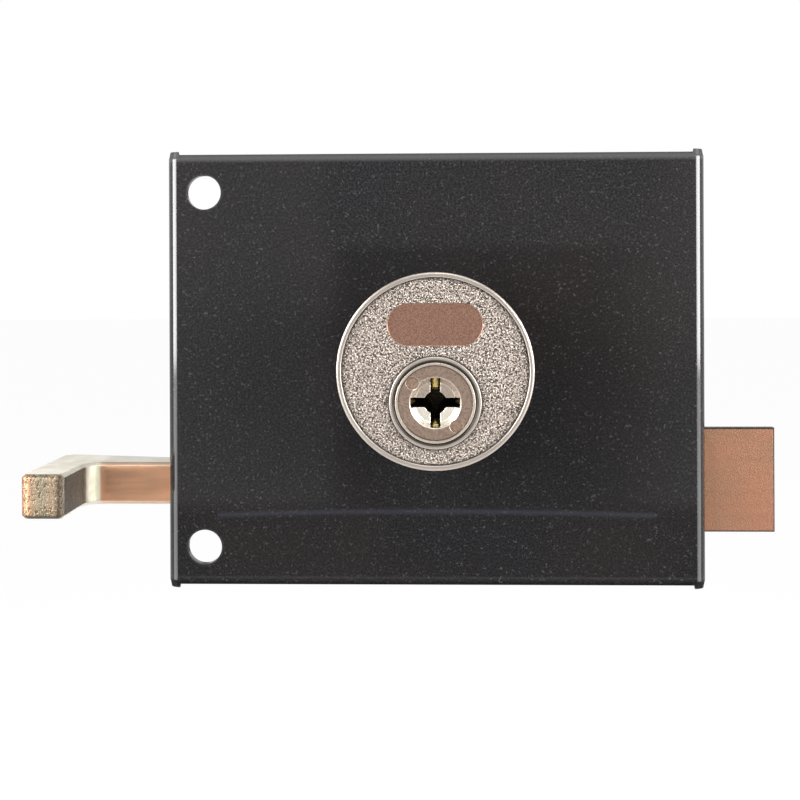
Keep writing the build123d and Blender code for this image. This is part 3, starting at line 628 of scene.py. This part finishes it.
# The plate's sides and all edges are painted dark as shade.
on_plate = step(latch, "LESS_THAN", object_place(latch)["Y"], plate_back)
not_front = step(latch, "GREATER_THAN", facing(latch)["Y"], front_least_facing)
shaded_plate_side = times(latch, on_plate, not_front)
latch_colour = layered(
    latch, bolt_bronze,
    (latch_grain, 0.45, bolt_grain),
    (latch_cloud, 0.30, bolt_olive),
    (inverse(latch, latch_cloud), 0.18, bolt_red),
    (latch_marks, 0.25, bolt_grain),
    (most(latch, shaded_plate_side, times(latch, latch_edge["Mask"], 0.6)), 0.95, bolt_edge_shade),
)
surface(latch, latch_shader, latch_colour, 0.42, latch_grain, 0.12)
relief(latch, latch_shader, latch_grain, 0.000012, latch_edge["Normal"])
dress(latch_bronze, "latch_bolt", "latch_plate")

# The draw bar is cold-drawn steel bar, bent hot and plated with yellow zinc. The plating is pale and
# grey on the top, coppery on the side of the shank that faces the room, and olive at the bend and on
# the rounded edges. The sides that face the case are painted dark as shade. The end of the bar was
# sheared: it is speckled with dark pits, coppery at the left and olive gold at the right, and its edges
# below and at the right are painted dark as shade.

bar_pale = (0.59, 0.565, 0.51, 1.0)
bar_copper = (0.357, 0.189, 0.112, 1.0)
bar_gold = (0.29, 0.245, 0.14, 1.0)
bar_end_gold = (0.110, 0.094, 0.057, 1.0)
bar_shear_dark = (0.050, 0.038, 0.026, 1.0)
bar_painted_shade = (0.035, 0.028, 0.022, 1.0)
bar_olive = (0.23, 0.225, 0.150, 1.0)
bar_tarnish = (0.20, 0.150, 0.100, 1.0)
shank_span = (-0.0651, -0.0642)
stem_end_span = (-0.0292, -0.0302)
stem_copper_span = (-0.0722, -0.0738)
room_facing_span = (0.4, 0.9)
case_facing_span = (0.82, 0.99)
right_edge_span = (0.15, 0.45)
lower_edge_span = (-0.15, -0.45)
pit_height = -3.0

bar_zinc, bar, bar_shader = new_finish("bar_zinc", 1.0)
bar_place = object_place(bar)
bar_facing = facing(bar)
bar_marks = use_group(bar, speckle, Size=0.0016, Stretch=(0.10, 1.0, 1.0), Share=0.5, Softness=0.2)["Mask"]
bar_cloud = use_group(bar, speckle, Size=0.004, Share=0.5, Softness=0.22)["Mask"]
bar_shear = use_group(
    bar, speckle, Size=0.00045, Stretch=(1.0, 1.0, 0.6), Share=0.36, Softness=0.08)["Mask"]
stem_stripes = use_group(
    bar, speckle, Size=0.0026, Stretch=(1.0, 1.0, 0.06), Share=0.5, Softness=0.16)["Mask"]
bar_edge = use_group(bar, edge, Radius=0.0006, Reach=0.3)
bar_rounded = parts(bar, bar_edge["Normal"])
faces_room = ramp(bar, times(bar, bar_facing["Y"], -1.0), *room_facing_span)
# Sides that face the case are painted dark as shade.
shaded_case_side = ramp(bar, bar_facing["X"], *case_facing_span)
# Edges of the sheared end that face right and down are painted dark as shade.
shaded_edge = most(
    bar, ramp(bar, bar_rounded["X"], *right_edge_span), ramp(bar, bar_rounded["Z"], *lower_edge_span))
on_shank = ramp(bar, bar_place["X"], *shank_span)
on_stem_end = ramp(bar, bar_place["Y"], *stem_end_span)
stem_copper = most(bar, ramp(bar, bar_place["X"], *stem_copper_span), times(bar, stem_stripes, 0.25))
on_bend = times(bar, inverse(bar, on_shank), inverse(bar, on_stem_end))
pits = times(bar, on_stem_end, bar_shear)
shank_copper = layered(bar, bar_copper, (bar_cloud, 0.3, bar_tarnish))
bar_colour = layered(
    bar, bar_pale,
    (bar_cloud, 0.35, bar_gold),
    (times(bar, faces_room, on_shank), 1.0, shank_copper),
    (times(bar, on_bend, faces_room), 0.8, bar_olive),
    (on_stem_end, 0.9, bar_end_gold),
    (times(bar, on_stem_end, stem_copper), 0.9, bar_copper),
    (shaded_case_side, 0.85, bar_painted_shade),
    (pits, 0.75, bar_shear_dark),
    (bar_edge["Mask"], 0.5, bar_gold),
    (times(bar, on_stem_end, shaded_edge), 0.85, bar_painted_shade),
)
surface(bar, bar_shader, bar_colour, rise(bar, 0.30, bar_marks, 0.14), on_bend, 0.20)
relief(bar, bar_shader, rise(bar, bar_marks, pits, pit_height), 0.000018, bar_edge["Normal"])
dress(bar_zinc, "draw_bar")

# The surroundings are a pale floor well below the lock and a white sky. Two lamps at each side draw
# the bright lines on the folded edges, brighter above than below, and a soft light comes from above
# and in front. The camera sees the floor almost pure white, and so do the polished metals, in part.

floor_height = -0.16
floor_half_size = 6.0
floor_white = 0.92
floor_glow_seen = 0.95
floor_glow_mirrored = 0.35
sky_ambient = 0.55
sky_seen_more = 0.45

floor_mesh = bpy.data.meshes.new("floor")
floor_corners = np.array(((-1, -1, 0), (1, -1, 0), (1, 1, 0), (-1, 1, 0))) * floor_half_size
floor_corners[:, 2] = floor_height
floor_mesh.from_pydata(floor_corners.tolist(), [], [(0, 1, 2, 3)])
floor_paper = bpy.data.materials.new("floor_paper")
floor_paper.use_nodes = True
paper = floor_paper.node_tree
paper_shader = paper.nodes["Principled BSDF"]
paper_shader.inputs["Base Color"].default_value = (floor_white, floor_white, floor_white, 1.0)
paper_shader.inputs["Roughness"].default_value = 0.9
paper_glow = paper.nodes.new("ShaderNodeEmission")
paper_mix = paper.nodes.new("ShaderNodeMixShader")
paper_path = paper.nodes.new("ShaderNodeLightPath")
paper.links.new(most(
    paper, times(paper, paper_path.outputs["Is Camera Ray"], floor_glow_seen),
    times(paper, paper_path.outputs["Is Glossy Ray"], floor_glow_mirrored)), paper_mix.inputs[0])
paper.links.new(paper_shader.outputs[0], paper_mix.inputs[1])
paper.links.new(paper_glow.outputs[0], paper_mix.inputs[2])
paper.links.new(paper_mix.outputs[0], paper.nodes["Material Output"].inputs["Surface"])
floor_mesh.materials.append(floor_paper)
floor = bpy.data.objects.new("floor", floor_mesh)
bpy.context.collection.objects.link(floor)

sky = bpy.context.scene.world or bpy.data.worlds.new("sky")
bpy.context.scene.world = sky
sky.use_nodes = True
sky_tree = sky.node_tree
sky_light = sky_tree.nodes["Background"]
sky_path = sky_tree.nodes.new("ShaderNodeLightPath").outputs
sky_seen = most(sky_tree, sky_path["Is Camera Ray"], sky_path["Is Glossy Ray"])
sky_seen = most(sky_tree, sky_seen, sky_path["Is Transmission Ray"])
sky_light.inputs["Color"].default_value = (1.0, 1.0, 1.0, 1.0)
sky_tree.links.new(rise(sky_tree, sky_ambient, sky_seen, sky_seen_more), sky_light.inputs["Strength"])

# A side lamp is its name, its height, the height it is aimed at, its size in metres and its watts.
side_lamp_away = 0.27
side_lamp_front = -0.19
side_lamps = (
    ("upper_strip", 0.09, 0.05, (0.20, 0.22), 2.8),
    ("lower_strip", -0.09, -0.05, (0.20, 0.13), 0.38),
)
front_lamp_place = (0.10, -0.75, 0.95)
front_lamp_size = (0.60, 0.60)
front_lamp_power = 7.0


def add_lamp(name, place, target, size, power):
    """A soft rectangular lamp of the given size in metres and power in watts, aimed at a point."""
    light = bpy.data.lights.new(name, "AREA")
    light.shape = "RECTANGLE"
    light.size, light.size_y = size
    light.energy = power
    lamp = bpy.data.objects.new(name, light)
    lamp.location = place
    lamp.rotation_euler = (Vector(target) - Vector(place)).to_track_quat("-Z", "Y").to_euler()
    bpy.context.collection.objects.link(lamp)


for side, hand in ((-1, "left"), (1, "right")):
    for label, height, aim, size, power in side_lamps:
        place = (side * side_lamp_away, side_lamp_front, height)
        add_lamp(f"{hand}_{label}", place, (0.0, 0.0, aim), size, power)
add_lamp("high_front", front_lamp_place, (0.0, 0.0, 0.0), front_lamp_size, front_lamp_power)

# The camera stands 230 mm in front of the face plate and 16 mm above its middle. It is level, but for a
# fifth of a degree of roll, and turned 1.7 degrees to the left. The photograph's optical centre lies
# above the middle of the picture, so the lens is shifted.

camera_place = Vector((0.000154, -0.24990, 0.01597))
camera_turn = -0.029113
camera_roll = -0.003644
picture_size = 800
focal_length_pixels = 1229.07
optical_centre_row = 284

camera_data = bpy.data.cameras.new("camera")
camera_data.sensor_width = 36.0
camera_data.lens = focal_length_pixels / picture_size * camera_data.sensor_width
camera_data.shift_y = (optical_centre_row - picture_size / 2) / picture_size
camera_data.clip_start = 0.01
ahead = Vector((np.sin(camera_turn), np.cos(camera_turn), 0.0))
level = Vector((np.cos(camera_turn), -np.sin(camera_turn), 0.0))
upward = Vector((0.0, 0.0, 1.0))
rightward = np.cos(camera_roll) * level + np.sin(camera_roll) * upward
topward = np.cos(camera_roll) * upward - np.sin(camera_roll) * level
turned_frame = Matrix((rightward, topward, -ahead)).transposed().to_4x4()
camera = bpy.data.objects.new("camera", camera_data)
camera.matrix_world = Matrix.Translation(camera_place) @ turned_frame
bpy.context.collection.objects.link(camera)
bpy.context.scene.camera = camera
bpy.context.scene.view_settings.view_transform = "Standard"
